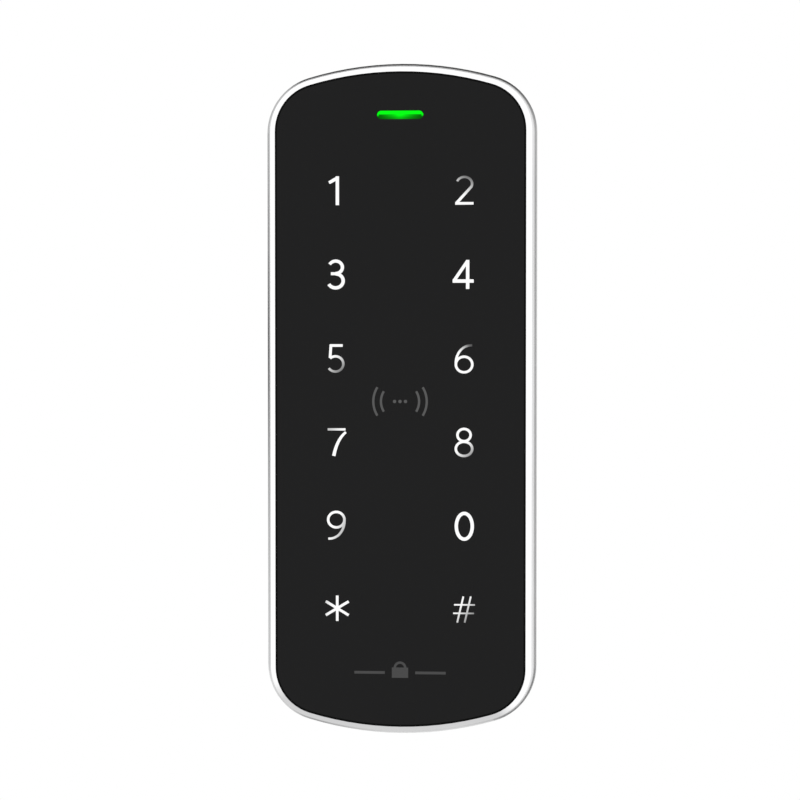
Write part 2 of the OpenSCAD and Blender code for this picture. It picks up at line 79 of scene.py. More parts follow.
class Net:
    """Adds nodes to one node tree and wires them as they are made."""

    def __init__(self, tree):
        self.tree = tree

    def add(self, kind, settings=None, **inputs):
        node = self.tree.nodes.new(kind)
        for name, value in (settings or {}).items():
            setattr(node, name, value)
        for name, value in inputs.items():
            self.feed(node, name.replace("_", " "), value)
        return node

    def feed(self, node, name, value):
        socket = node.inputs[int(name)] if name.isdigit() else node.inputs[name]
        if isinstance(value, bpy.types.NodeSocket):
            self.tree.links.new(value, socket)
        else:
            socket.default_value = value

    def maths(self, operation, a, b=0.0, clamp=False):
        node = self.add("ShaderNodeMath", {"operation": operation, "use_clamp": clamp})
        self.feed(node, "0", a)
        self.feed(node, "1", b)
        return node.outputs[0]

    def remap(self, value, low, high, to_low=0.0, to_high=1.0, smooth=True):
        kind = "SMOOTHSTEP" if smooth else "LINEAR"
        node = self.add("ShaderNodeMapRange", {"interpolation_type": kind})
        for name, given in (("Value", value), ("From Min", low), ("From Max", high),
                            ("To Min", to_low), ("To Max", to_high)):
            self.feed(node, name, given)
        return node.outputs[0]

    def blend(self, factor, a, b):
        node = self.add("ShaderNodeMix", {"data_type": "RGBA"})
        for socket, given in ((node.inputs[0], factor), (node.inputs[6], a), (node.inputs[7], b)):
            if isinstance(given, bpy.types.NodeSocket):
                self.tree.links.new(given, socket)
            else:
                socket.default_value = given
        return node.outputs[2]


def rgba(colour):
    return (*colour, 1.0)


def effect_group(name, inputs, outputs, build):
    """One shared effect. inputs are (name, type, default) and outputs are (name, type)."""
    tree = bpy.data.node_groups.new(name, "ShaderNodeTree")
    for label, kind, default in inputs:
        socket = tree.interface.new_socket(label, in_out="INPUT", socket_type=kind)
        socket.default_value = default
    for label, kind in outputs:
        tree.interface.new_socket(label, in_out="OUTPUT", socket_type=kind)
    net = Net(tree)
    entry = net.add("NodeGroupInput")
    leave = net.add("NodeGroupOutput")
    for label, value in build(net, entry.outputs).items():
        net.feed(leave, label, value)
    return tree


FLOAT, COLOUR, VECTOR = "NodeSocketFloat", "NodeSocketColor", "NodeSocketVector"


def drift(net, given):
    """A slow change of tone across a surface."""
    place = net.add("ShaderNodeTexCoord").outputs["Object"]
    noise = net.add("ShaderNodeTexNoise", Vector=place, Scale=given["Scale"], Detail=3.0).outputs["Fac"]
    side = net.remap(noise, 0.35, 0.65, -1.0, 1.0)
    factor = net.maths("MULTIPLY", side, given["Amount"])
    lift = net.maths("ADD", 1.0, factor)
    shade = net.add("ShaderNodeVectorMath", {"operation": "SCALE"})
    net.feed(shade, "0", given["Colour"])
    net.feed(shade, "Scale", lift)
    return {"Colour": shade.outputs[0]}


def grain(net, given):
    """Fine even grain of a moulded, cast or sprayed surface."""
    place = net.add("ShaderNodeTexCoord").outputs["Object"]
    fine = net.add("ShaderNodeTexNoise", Vector=place, Scale=given["Scale"], Detail=4.0,
                   Roughness=0.6).outputs["Fac"]
    cells = net.add("ShaderNodeTexVoronoi", {"feature": "SMOOTH_F1"}, Vector=place, Scale=given["Scale"],
                    Smoothness=0.6).outputs["Distance"]
    height = net.maths("ADD", fine, net.maths("MULTIPLY", cells, 0.6))
    swing = net.maths("MULTIPLY", net.maths("SUBTRACT", fine, 0.5), given["Spread"])
    return {"Height": height, "Roughness": net.maths("ADD", given["Roughness"], swing)}


def brushing(net, given):
    """Long fine marks left by a belt, a roller or a lathe, along one direction."""
    place = net.add("ShaderNodeTexCoord").outputs["Object"]
    drawn = net.add("ShaderNodeVectorMath", {"operation": "MULTIPLY"})
    net.feed(drawn, "0", place)
    net.feed(drawn, "1", given["Stretch"])
    lines = net.add("ShaderNodeTexNoise", Vector=drawn.outputs[0], Scale=given["Scale"], Detail=5.0,
                    Roughness=0.7).outputs["Fac"]
    swing = net.maths("MULTIPLY", net.maths("SUBTRACT", lines, 0.5), given["Spread"])
    return {"Height": lines, "Roughness": net.maths("ADD", given["Roughness"], swing)}


def worn_edges_and_highlight(net, given):
    """A mask that is strong on outer edges and broken up by noise: worn edges, and a painted highlight
    where a rounded edge would catch light.
    """
    place = net.add("ShaderNodeTexCoord").outputs["Object"]
    edge = net.add("ShaderNodeAmbientOcclusion", {"inside": True, "samples": 6, "only_local": True},
                   Distance=given["Width"]).outputs["AO"]
    rim = net.remap(edge, 0.55, 0.9, 1.0, 0.0)
    patch = net.add("ShaderNodeTexNoise", Vector=place, Scale=given["Scale"], Detail=4.0).outputs["Fac"]
    broken = net.remap(patch, 0.4, 0.62)
    worn = net.maths("MULTIPLY", rim, broken)
    return {"Mask": net.maths("MULTIPLY", worn, given["Amount"], clamp=True)}


def facing(net, given):
    """Is 1 on faces that look straight out of the wall and falls to 0 as they turn away."""
    normal = net.add("ShaderNodeTexCoord").outputs["Normal"]
    out = net.maths("MULTIPLY", net.add("ShaderNodeSeparateXYZ", Vector=normal).outputs["Y"], -1.0)
    return {"Mask": net.remap(out, given["From"], given["To"])}


DRIFT = effect_group(
    "tone_drift",
    [("Colour", COLOUR, rgba((0.5, 0.5, 0.5))), ("Scale", FLOAT, 60.0), ("Amount", FLOAT, 0.05)],
    [("Colour", COLOUR)], drift)
GRAIN = effect_group(
    "fine_grain",
    [("Scale", FLOAT, 4000.0), ("Roughness", FLOAT, 0.5), ("Spread", FLOAT, 0.1)],
    [("Height", FLOAT), ("Roughness", FLOAT)], grain)
BRUSH = effect_group(
    "brush_marks",
    [("Scale", FLOAT, 600.0), ("Stretch", VECTOR, (1.0, 1.0, 0.05)), ("Roughness", FLOAT, 0.3),
     ("Spread", FLOAT, 0.2)],
    [("Height", FLOAT), ("Roughness", FLOAT)], brushing)
FACE = effect_group(
    "facing_out",
    [("From", FLOAT, 0.97), ("To", FLOAT, 0.9995)],
    [("Mask", FLOAT)], facing)
WORN_EDGES_AND_HIGHLIGHT = effect_group(
    "worn_edges_and_highlight",
    [("Width", FLOAT, 0.4 * MM), ("Scale", FLOAT, 500.0), ("Amount", FLOAT, 1.0)],
    [("Mask", FLOAT)], worn_edges_and_highlight)


# ---------------------------------------------------------------- finishes

LAMP_MIDDLE = sum(corner.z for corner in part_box("status_lens")) / 2
INK_BLACK = (0.0035, 0.0035, 0.0037)
PANEL_SHEEN = 0.07


def new_finish(name):
    """A material with one Principled shader, and the net that builds it."""
    material = bpy.data.materials.new(name)
    material.use_nodes = True
    tree = material.node_tree
    tree.nodes.clear()
    net = Net(tree)
    shader = net.add("ShaderNodeBsdfPrincipled")
    out = net.add("ShaderNodeOutputMaterial")
    tree.links.new(shader.outputs[0], out.inputs[0])
    return material, net, shader


def placed(net, group, **inputs):
    """A shared effect put into a material with its own values; gives its outputs."""
    return net.add("ShaderNodeGroup", {"node_tree": group}, **inputs).outputs


def bumped(net, shader, height, depth):
    """Raises the surface by a height pattern that is depth metres deep."""
    bump = net.add("ShaderNodeBump", Height=height, Distance=depth)
    bump.inputs["Strength"].default_value = 1.0
    net.feed(shader, "Normal", bump.outputs[0])


def cast_finish(name, colour, metallic, roughness, grain_size=0.25 * MM, depth=4 * MICRON, spread=0.12,
                tone=0.05, tone_scale=45.0, bare_and_highlight=None, wear_and_highlight=0.0, specular=0.5):
    """Moulded, cast or sprayed surface: slow tone drift, fine grain, and edges in a lighter colour that
    stands for wear and for a painted highlight.
    """
    material, net, shader = new_finish(name)
    toned = placed(net, DRIFT, Colour=rgba(colour), Scale=tone_scale, Amount=tone)["Colour"]
    fine = placed(net, GRAIN, Scale=1.0 / grain_size, Roughness=roughness, Spread=spread)
    # Lighter edges: wear, and a painted highlight where a rounded edge would catch light.
    if bare_and_highlight is not None:
        mask = placed(net, WORN_EDGES_AND_HIGHLIGHT, Width=0.3 * MM, Amount=wear_and_highlight)["Mask"]
        toned = net.blend(mask, toned, rgba(bare_and_highlight))
    net.feed(shader, "Base Color", toned)
    net.feed(shader, "Roughness", fine["Roughness"])
    shader.inputs["Metallic"].default_value = metallic
    shader.inputs["Specular IOR Level"].default_value = specular
    bumped(net, shader, fine["Height"], depth)
    return material


def drawn_finish(name, colour, roughness, stretch, scale=900.0, depth=2 * MICRON, spread=0.2, tone=0.06,
                 bare_and_highlight=None, wear_and_highlight=0.0):
    """Rolled, brushed or turned metal, with edges in a lighter colour that stands for wear and for a
    painted highlight.
    """
    material, net, shader = new_finish(name)
    toned = placed(net, DRIFT, Colour=rgba(colour), Scale=70.0, Amount=tone)["Colour"]
    marks = placed(net, BRUSH, Scale=scale, Stretch=stretch, Roughness=roughness, Spread=spread)
    # Lighter edges: wear, and a painted highlight where a rounded edge would catch light.
    if bare_and_highlight is not None:
        mask = placed(net, WORN_EDGES_AND_HIGHLIGHT, Amount=wear_and_highlight)["Mask"]
        toned = net.blend(mask, toned, rgba(bare_and_highlight))
    net.feed(shader, "Base Color", toned)
    net.feed(shader, "Roughness", marks["Roughness"])
    shader.inputs["Metallic"].default_value = 1.0
    bumped(net, shader, marks["Height"], depth)
    return material


def panel_finish():
    """Clear panel inked black behind: a clear coat on its flat faces, and a dull ground edge."""
    material, net, shader = new_finish("black_panel_gloss")
    toned = placed(net, DRIFT, Colour=rgba(INK_BLACK), Scale=14.0, Amount=0.04)["Colour"]
    net.feed(shader, "Base Color", toned)
    fine = placed(net, GRAIN, Scale=260.0, Roughness=0.5, Spread=0.2)
    net.feed(shader, "Roughness", fine["Roughness"])
    net.feed(shader, "Coat Weight", placed(net, FACE)["Mask"])
    shader.inputs["Coat Roughness"].default_value = PANEL_SHEEN
    shader.inputs["Specular IOR Level"].default_value = 0.0
    bumped(net, shader, fine["Height"], 0.2 * MICRON)
    return material


def lit_finish(name):
    """A marking lit from behind, as brightly as the mesh's own 'glow' colour says; on the unlit card and
    lock symbols that glow is painted light.
    """
    material, net, shader = new_finish(name)
    glow = net.add("ShaderNodeAttribute", {"attribute_name": "glow"}).outputs["Color"]
    toned = placed(net, DRIFT, Colour=glow, Scale=300.0, Amount=0.03)["Colour"]
    net.feed(shader, "Emission Color", toned)
    shader.inputs["Emission Strength"].default_value = 1.0
    shader.inputs["Base Color"].default_value = rgba((0.02, 0.02, 0.02))
    fine = placed(net, GRAIN, Scale=3000.0, Roughness=0.35, Spread=0.1)
    net.feed(shader, "Roughness", fine["Roughness"])
    shader.inputs["Specular IOR Level"].default_value = 0.2
    return material


def lens_finish():
    """Clear green lamp window: a bright upper edge over a glow that fades down and to both ends."""
    material, net, shader = new_finish("green_lamp_lens")
    place = net.add("ShaderNodeTexCoord").outputs["Object"]
    split = net.add("ShaderNodeSeparateXYZ", Vector=place).outputs
    up = net.maths("MULTIPLY", net.maths("SUBTRACT", split["Z"], LAMP_MIDDLE), 1 / MM)
    aside = net.maths("MULTIPLY", net.maths("ABSOLUTE", split["X"]), 1 / MM)
    along = net.remap(aside, 0.3, 4.2, 1.0, 0.2, smooth=False)
    across = net.remap(up, -0.7, 0.15, 0.42, 1.0)
    glow = net.maths("MULTIPLY", net.maths("MULTIPLY", along, along), across)
    top_edge = net.remap(up, -0.04, 0.16)
    ends = net.maths("MULTIPLY", net.remap(aside, 3.75, 4.05), net.remap(up, -0.4, 0.0))
    level = net.maths("MAXIMUM", glow, net.maths("MAXIMUM", top_edge, ends))
    bead = placed(net, DRIFT, Colour=rgba((0.0, 1.0, 0.006)), Scale=500.0, Amount=0.04)["Colour"]
    net.feed(shader, "Emission Color", net.blend(level, rgba((0.0, 0.02, 0.0)), bead))
    shader.inputs["Emission Strength"].default_value = 1.0
    shader.inputs["Base Color"].default_value = rgba((0.0, 0.05, 0.0))
    shader.inputs["Specular IOR Level"].default_value = 0.1
    fine = placed(net, GRAIN, Scale=2000.0, Roughness=0.12, Spread=0.05)
    net.feed(shader, "Roughness", fine["Roughness"])
    bumped(net, shader, fine["Height"], 2 * MICRON)
    return material


def board_finish():
    """Green solder resist over copper runs that come and go, with small tinned vias."""
    material, net, shader = new_finish("green_solder_resist")
    place = net.add("ShaderNodeTexCoord").outputs["Object"]
    flat = net.add("ShaderNodeMapping", Vector=place)
    flat.inputs["Rotation"].default_value = (math.radians(90), 0, 0)
    lines = net.add("ShaderNodeTexBrick", {"offset": 0.37}, Vector=flat.outputs[0], Scale=420.0,
                    Mortar_Size=0.034, Brick_Width=3.1, Row_Height=0.31).outputs["Fac"]
    fields = net.add("ShaderNodeTexNoise", Vector=place, Scale=150.0).outputs["Fac"]
    runs = net.maths("MULTIPLY", lines, net.remap(fields, 0.47, 0.5))
    cells = net.add("ShaderNodeTexVoronoi", Vector=place, Scale=330.0).outputs["Distance"]
    vias = net.remap(cells, 0.1, 0.08)
    resist = placed(net, DRIFT, Colour=rgba((0.006, 0.085, 0.03)), Scale=90.0, Amount=0.12)["Colour"]
    over_copper = net.blend(runs, resist, rgba((0.016, 0.15, 0.052)))
    net.feed(shader, "Base Color", net.blend(vias, over_copper, rgba((0.62, 0.62, 0.6))))
    net.feed(shader, "Metallic", vias)
    fine = placed(net, GRAIN, Scale=1500.0, Roughness=0.28, Spread=0.15)
    net.feed(shader, "Roughness", fine["Roughness"])
    bumped(net, shader, net.maths("MAXIMUM", runs, vias), 20 * MICRON)
    return material


def film_finish(name, colour, alpha):
    """Thin milky film that lets some light through."""
    material, net, shader = new_finish(name)
    toned = placed(net, DRIFT, Colour=rgba(colour), Scale=120.0, Amount=0.03)["Colour"]
    net.feed(shader, "Base Color", toned)
    fine = placed(net, GRAIN, Scale=5000.0, Roughness=0.6, Spread=0.15)
    net.feed(shader, "Roughness", fine["Roughness"])
    shader.inputs["Alpha"].default_value = alpha
    bumped(net, shader, fine["Height"], 3 * MICRON)
    return material


FINISHES = {
    # The plate's light edges are a painted highlight in place of rounded edges that catch light, along
    # with wear.
    "plate_steel": drawn_finish("zinc_plated_steel", (0.56, 0.57, 0.58), 0.34, (1.0, 1.0, 0.04),
                                depth=6 * MICRON, bare_and_highlight=(0.8, 0.81, 0.82), wear_and_highlight=0.8),
    "screw_steel": drawn_finish("bright_screw_steel", (0.62, 0.62, 0.63), 0.22, (1.0, 1.0, 0.2),
                                scale=2500.0, bare_and_highlight=(0.85, 0.85, 0.85), wear_and_highlight=0.6),
    "black_rubber": cast_finish("black_rubber", (0.018, 0.018, 0.019), 0.0, 0.72, depth=12 * MICRON,
                                spread=0.2),
    "housing_metal": cast_finish("satin_cast_metal", (0.72, 0.72, 0.725), 1.0, 0.2, grain_size=0.12 * MM,
                                 depth=1.5 * MICRON, spread=0.1, tone=0.03, bare_and_highlight=(0.9, 0.9, 0.9),
                                 wear_and_highlight=0.35),
    "polished_bezel": drawn_finish("polished_bezel_metal", (0.93, 0.93, 0.935), 0.1, (1.0, 1.0, 1.0),
                                   scale=2600.0, depth=0.4 * MICRON, spread=0.06, tone=0.015),
    "black_panel": panel_finish(),
    "white_legend": lit_finish("lit_legend"),
    "dim_legend": lit_finish("unlit_legend_painted_glow"),
    "green_lens": lens_finish(),
    "black_tape": cast_finish("black_foam_tape", (0.012, 0.012, 0.012), 0.0, 0.85, depth=20 * MICRON,
                              spread=0.2),
    "milky_film": film_finish("milky_film", (0.86, 0.86, 0.83), 0.85),
    "white_plastic": cast_finish("white_moulding", (0.8, 0.8, 0.78), 0.0, 0.42, depth=6 * MICRON,
                                 tone=0.02),
    "green_board": board_finish(),
    "copper": drawn_finish("bare_copper", (0.78, 0.36, 0.19), 0.3, (1.0, 1.0, 0.3), bare_and_highlight=(0.9, 0.55, 0.35),
                           wear_and_highlight=0.5),
    "lamp_body": cast_finish("lamp_resin", (0.86, 0.78, 0.42), 0.0, 0.18, depth=3 * MICRON, tone=0.08),
    "chip_black": cast_finish("black_chip_resin", (0.02, 0.02, 0.022), 0.0, 0.5, grain_size=0.15 * MM,
                              depth=8 * MICRON, bare_and_highlight=(0.12, 0.12, 0.12), wear_and_highlight=0.6),
    "ferrite": cast_finish("sintered_ferrite", (0.07, 0.07, 0.075), 0.1, 0.55, grain_size=0.2 * MM,
                           depth=20 * MICRON, tone=0.15),
    "cream_plastic": cast_finish("cream_moulding", (0.74, 0.7, 0.56), 0.0, 0.38, depth=5 * MICRON,
                                 tone=0.04),
    "bright_tin": drawn_finish("bright_tin", (0.72, 0.72, 0.73), 0.22, (1.0, 1.0, 0.25), scale=1500.0),
    "small_part_body": cast_finish("chip_ceramic", (0.32, 0.24, 0.15), 0.0, 0.45, depth=6 * MICRON,
                                   tone=0.25, tone_scale=400.0),
    "gilt_pin": drawn_finish("gilt_pin", (0.86, 0.66, 0.28), 0.2, (1.0, 0.1, 1.0), scale=2500.0),
    "brass": drawn_finish("turned_brass", (0.75, 0.56, 0.25), 0.26, (1.0, 1.0, 0.05), scale=1500.0,
                          bare_and_highlight=(0.9, 0.75, 0.45), wear_and_highlight=0.5),
    "label_film": cast_finish("blank_foil_label", (0.62, 0.62, 0.63), 0.6, 0.4, grain_size=0.4 * MM),
}

for part in frame["record"]["subparts"]:
    mesh = nodes[part["node"]].data
    mesh.materials.clear()
    mesh.materials.append(FINISHES[part["material_slot"]])


# ---------------------------------------------------------------- mesh helpers

def new_piece(name, bm, material, body, smooth=True):
    """Turns a bmesh into a piece that rides on a body."""
    bmesh.ops.recalc_face_normals(bm, faces=bm.faces)
    mesh = bpy.data.meshes.new(name)
    bm.to_mesh(mesh)
    bm.free()
    mesh.materials.append(material)
    if smooth:
        mesh.shade_smooth()
        mesh.set_sharp_from_angle(angle=math.radians(35))
    piece = bpy.data.objects.new(name, mesh)
    bpy.context.scene.collection.objects.link(piece)
    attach(piece, body)
    return piece


def join_rings(bm, rings, closed):
    """Walls between rows of points, with caps at both ends of an open run."""
    rows = [[bm.verts.new(point) for point in ring] for ring in rings]
    pairs = list(zip(rows, rows[1:]))
    if closed:
        pairs.append((rows[-1], rows[0]))
    for here, there in pairs:
        for i in range(len(here)):
            j = (i + 1) % len(here)
            bm.faces.new((here[i], here[j], there[j], there[i]))
    if not closed:
        bm.faces.new(rows[0])
        bm.faces.new(list(reversed(rows[-1])))


# ---------------------------------------------------------------- key legends

HEAVY, LIGHT, FINE = 0.62, 0.46, 0.32  # widths of the printed strokes, mm
HALF_LEGEND = 2.6                      # half the height of a legend, mm
PANEL_FRONT = -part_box("front_panel")[0].y / MM  # depth from the wall, mm
INK_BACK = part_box("front_panel")[0].y
INK_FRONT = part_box("key_legends")[0].y


def arc(centre, radii, start, end, width, end_width=None):
    """A curved stroke round a centre, from one angle to another, as (x, z, width)."""
    steps = max(8, round(abs(end - start) / 7))
    last = width if end_width is None else end_width
    run = []
    for i in range(steps + 1):
        share = i / steps
        angle = math.radians(start + (end - start) * share)
        run.append((centre[0] + radii[0] * math.cos(angle), centre[1] + radii[1] * math.sin(angle),
                    width + (last - width) * share))
    return run


def line(start, end, width, end_width=None):
    """A straight stroke, in short lengths so that its glow can change along it."""
    steps = 8
    last = width if end_width is None else end_width
    return [(start[0] + (end[0] - start[0]) * i / steps, start[1] + (end[1] - start[1]) * i / steps,
             width + (last - width) * i / steps) for i in range(steps + 1)]


def bowl_and_stem(turn):
    """The six, or turned half round the nine."""
    bowl = arc((0.02, -1.1), (1.5, 1.42), 0, 360, LIGHT)
    stem = arc((1.3, -0.85), (2.78, 3.25), 180, 86, LIGHT, 0.4)
    return [[(turn * x, turn * z, width) for x, z, width in run] for run in (bowl, stem)]


def star():
    """Three strokes through one point."""
    x, z = 0.14, 0.14
    runs = []
    for turn, reach in ((31, 2.46), (90, 2.34), (149, 2.46)):
        across, up = reach * math.cos(math.radians(turn)), reach * math.sin(math.radians(turn))
        runs.append(line((x - across, z - up), (x + across, z + up), 0.48))
    return runs


def hash_mark():
    """Two leaning uprights and two level bars."""
    uprights = [line((0.68 * side - 0.52, -2.3), (0.68 * side + 0.6, 2.5), FINE) for side in (-1, 1)]
    bars = [line((0.08 * side - 1.86, 0.18 + 0.78 * side), (0.08 * side + 1.96, 0.18 + 0.78 * side), 0.28)
            for side in (-1, 1)]
    return uprights + bars


# Strokes of each legend round its middle, in mm.
GLYPHS = {
    "1": [line((0.22, -2.68), (0.22, 2.58), HEAVY), line((-1.3, 1.42), (0.3, 2.3), 0.56, HEAVY)],
    "2": [arc((0.05, 1.1), (1.4, 1.24), 158, -32, 0.4, LIGHT),
          line((1.26, 0.5), (-1.34, -2.36), LIGHT, 0.52),
          line((-1.62, -2.46), (1.72, -2.46), 0.5, 0.46)],
    "3": [arc((-0.1, 1.32), (1.24, 1.14), 152, -90, 0.56, HEAVY),
          arc((-0.12, -1.16), (1.4, 1.28), 90, -152, HEAVY),
          line((-0.98, 0.15), (0.0, 0.15), 0.54)],
    "4": [line((0.66, -2.68), (0.66, 2.6), HEAVY), line((0.6, 2.36), (-1.8, -1.14), 0.58),
          line((-2.08, -1.24), (1.76, -1.24), HEAVY)],
    "5": [line((-1.2, 2.36), (1.18, 2.36), 0.48), line((-0.98, 2.5), (-1.14, 0.08), 0.5),
          arc((-0.16, -1.02), (1.46, 1.4), 132, -146, LIGHT, 0.42)],
    "6": bowl_and_stem(1),
    "7": [line((-1.6, 2.34), (1.68, 2.34), 0.42), arc((3.4, -4.6), (4.05, 7.05), 114, 163, 0.44, 0.62)],
    "8": [arc((0.02, 1.36), (1.2, 1.12), 0, 360, LIGHT), arc((0.02, -1.16), (1.5, 1.3), 0, 360, LIGHT)],
    "9": bowl_and_stem(-1),
    "0": [arc((0.08, 0.02), (1.46, 2.36), 0, 360, HEAVY)],
    "*": star(),
    "#": hash_mark(),
}

# Where a legend's light fades: the way it falls off as two numbers, how far along that way the fade
# starts, and how dim the far side is.
FADES = {
    "2": (0.5, 1, 0.3, 0.1), "5": (0.8, -1, 0.34, 0.09), "6": (1, 1.5, 0.6, 0.07),
    "7": (-1, 0.8, 0.55, 0.5), "8": (1, -1, 0.55, 0.26), "9": (1, -0.5, 0.45, 0.18),
    "*": (-1, 0.2, 0.7, 0.55), "#": (1, -0.8, 0.3, 0.05),
}
KEYS = ("12", "34", "56", "78", "90", "*#")
KEY_COLUMN, KEY_ROW = 23.4, 15.35  # spacing of the keys, mm


def lit_share(mark, x, z):
    """How brightly a point of a legend is lit."""
    if mark not in FADES:
        return 1.0
    fall_x, fall_z, start, dim = FADES[mark]
    reach = HALF_LEGEND * math.hypot(fall_x, fall_z)
    share = 0.5 + 0.5 * (x * fall_x + z * fall_z) / reach
    fade = min(max((share - start) / (1 - start), 0.0), 1.0)
    return 1.0 - (1.0 - dim) * fade


def paint_glow(mesh, tone_at):
    """Stores how brightly each corner of a marking is lit."""
    layer = mesh.color_attributes.new("glow", "FLOAT_COLOR", "CORNER")
    for loop in mesh.loops:
        tone = tone_at(mesh.vertices[loop.vertex_index].co)
        layer.data[loop.index].color = (tone, tone, tone, 1.0)


def add_stroke(bm, run, centre):
    """A flat raised stroke of ink along a run of (x, z, width)."""
    points = [Vector((x, z)) for x, z, width in run]
    closed = (points[0] - points[-1]).length < 0.01
    if closed:
        points, run = points[:-1], run[:-1]
    rings = []
    for i, (point, (x, z, width)) in enumerate(zip(points, run)):
        if closed:
            before, after = points[i - 1], points[(i + 1) % len(points)]
        else:
            before, after = points[max(i - 1, 0)], points[min(i + 1, len(points) - 1)]
        along = (after - before).normalized()
        out = Vector((-along.y, along.x)) * width / 2
        left, right = (point + out + centre) * MM, (point - out + centre) * MM
        rings.append([(left.x, INK_FRONT, left.y), (right.x, INK_FRONT, right.y),
                      (right.x, INK_BACK, right.y), (left.x, INK_BACK, left.y)])
    join_rings(bm, rings, closed)


def make_legends():
    """The twelve legends as raised ink, lit from behind."""
    bm = bmesh.new()
    for row, marks in enumerate(KEYS):
        for column, mark in enumerate(marks):
            centre = Vector(((column - 0.5) * KEY_COLUMN, ((len(KEYS) - 1) / 2 - row) * KEY_ROW))
            for run in GLYPHS[mark]:
                add_stroke(bm, run, centre)
    piece = new_piece("printed_legends", bm, FINISHES["white_legend"], "reader",
                      smooth=False)
    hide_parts("key_legends")

    def tone_at(place):
        row = min(max(round((len(KEYS) - 1) / 2 - place.z / MM / KEY_ROW), 0), len(KEYS) - 1)
        column = 0 if place.x < 0 else 1
        x = place.x / MM - (column - 0.5) * KEY_COLUMN
        z = place.z / MM - ((len(KEYS) - 1) / 2 - row) * KEY_ROW
        return lit_share(KEYS[row][column], x, z)

    paint_glow(piece.data, tone_at)


# The card and lock symbols are unlit marks; their small steady glow is painted light that gives them their
# grey tone.
CARD_SYMBOL_GLOW, LOCK_SYMBOL_GLOW = 0.075, 0.045
make_legends()
paint_glow(nodes["card_symbol"].data, lambda place: CARD_SYMBOL_GLOW)
paint_glow(nodes["lock_symbol"].data, lambda place: LOCK_SYMBOL_GLOW)


# ---------------------------------------------------------------- black bead round the panel, painted shade in the gap

def panel_rim():
    """The panel's outline in order round it, as (x, z), without the lamp's window."""
    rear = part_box("front_panel")[1].y
    lamp_low, lamp_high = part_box("status_lens")
    places = [vert.co for vert in nodes["front_panel"].data.vertices]
    rim = {(round(place.x, 6), round(place.z, 6)) for place in places if place.y > rear - 0.01 * MM}
    rim = [p for p in rim if not (lamp_low.x < p[0] < lamp_high.x and lamp_low.z < p[1] < lamp_high.z)]
    return [Vector(p) for p in sorted(rim, key=lambda p: math.atan2(p[1], p[0]))]


def sweep_round(bm, rim, section):
    """Runs a section of (outwards, depth) in mm round a closed rim."""
    rings = []
    for i, point in enumerate(rim):
        along = (rim[(i + 1) % len(rim)] - rim[i - 1]).normalized()
        out = Vector((along.y, -along.x))
        rings.append([(point.x + out.x * reach * MM, -depth * MM, point.y + out.y * reach * MM)
                      for reach, depth in section])
    join_rings(bm, rings, True)


def make_shade_bead():
    """Black sealant that fills the gap and laps a little over the panel's edge; it is also painted shade
    for the dark groove round the panel and the panel's darker edge.
    """
    inner, outer = -0.16, 0.26  # from the panel's edge, mm
    section = [(inner, PANEL_FRONT - 0.2), (0.0, PANEL_FRONT - 0.9), (outer, PANEL_FRONT - 0.9),
               (outer, PANEL_FRONT - 0.2), (0.17, PANEL_FRONT - 0.1), (0.05, PANEL_FRONT - 0.02),
               (-0.08, PANEL_FRONT + 0.02), (inner, PANEL_FRONT + 0.005)]
    bm = bmesh.new()
    sweep_round(bm, panel_rim(), section)
    sealant_and_shade = cast_finish("black_sealant_painted_shade", (0.0035, 0.0035, 0.0035), 0.0, 0.8, grain_size=0.3 * MM,
                          specular=0.05)
    new_piece("panel_bead_painted_shade", bm, sealant_and_shade, "reader")


make_shade_bead()


# ---------------------------------------------------------------- small parts inside

BOARD_REAR = -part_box("main_board")[1].y / MM   # depths from the wall, mm
BOARD_FRONT = -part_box("main_board")[0].y / MM
PIN_PITCH = 2                                  # between the pins of a socket, mm


def spot(x, depth, z):
    """A point from its place across, its depth from the wall and its height, in mm."""
    return Vector((x, -depth, z)) * MM


def flat_span(node_name):
    """Left, right, bottom and top of a CAD node, in mm."""
    low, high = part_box(node_name)
    return low.x / MM, high.x / MM, low.z / MM, high.z / MM


def gull_lead(bm, foot, way, body_edge, shoulder):
    """One bent lead: out of the chip's side, down to the board and out along it."""
    width, thick = 0.3, 0.12
    across = Vector((-way.y, way.x)) * width / 2
    base = BOARD_REAR - 0.02
    path = [(body_edge - 0.05, shoulder), (body_edge + 0.28, shoulder), (body_edge + 0.4, shoulder + 0.1),
            (body_edge + 0.5, base - 0.1), (body_edge + 0.6, base), (body_edge + 0.95, base)]
    rings = []
    for reach, depth in path:
        middle = foot + way * reach
        left, right = middle + across, middle - across
        rings.append([spot(left.x, depth, left.y), spot(right.x, depth, right.y),
                      spot(right.x, depth - thick, right.y), spot(left.x, depth - thick, left.y)])
    join_rings(bm, rings, False)


def make_leads(name, node_name, ways, count, pitch):
    """Leads down the sides of a chip on the back of the main board."""
    left, right, bottom, top = flat_span(node_name)
    middle = Vector(((left + right) / 2, (bottom + top) / 2))
    chip_rear = -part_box(node_name)[1].y / MM
    shoulder = (BOARD_REAR + chip_rear) / 2
    bm = bmesh.new()
    for way in ways:
        edge = (right - left) / 2 if way.x else (top - bottom) / 2
        along = Vector((-way.y, way.x))
        for i in range(count):
            gull_lead(bm, middle + along * (i - (count - 1) / 2) * pitch, way, edge, shoulder)
    new_piece(name, bm, FINISHES["bright_tin"], "reader")


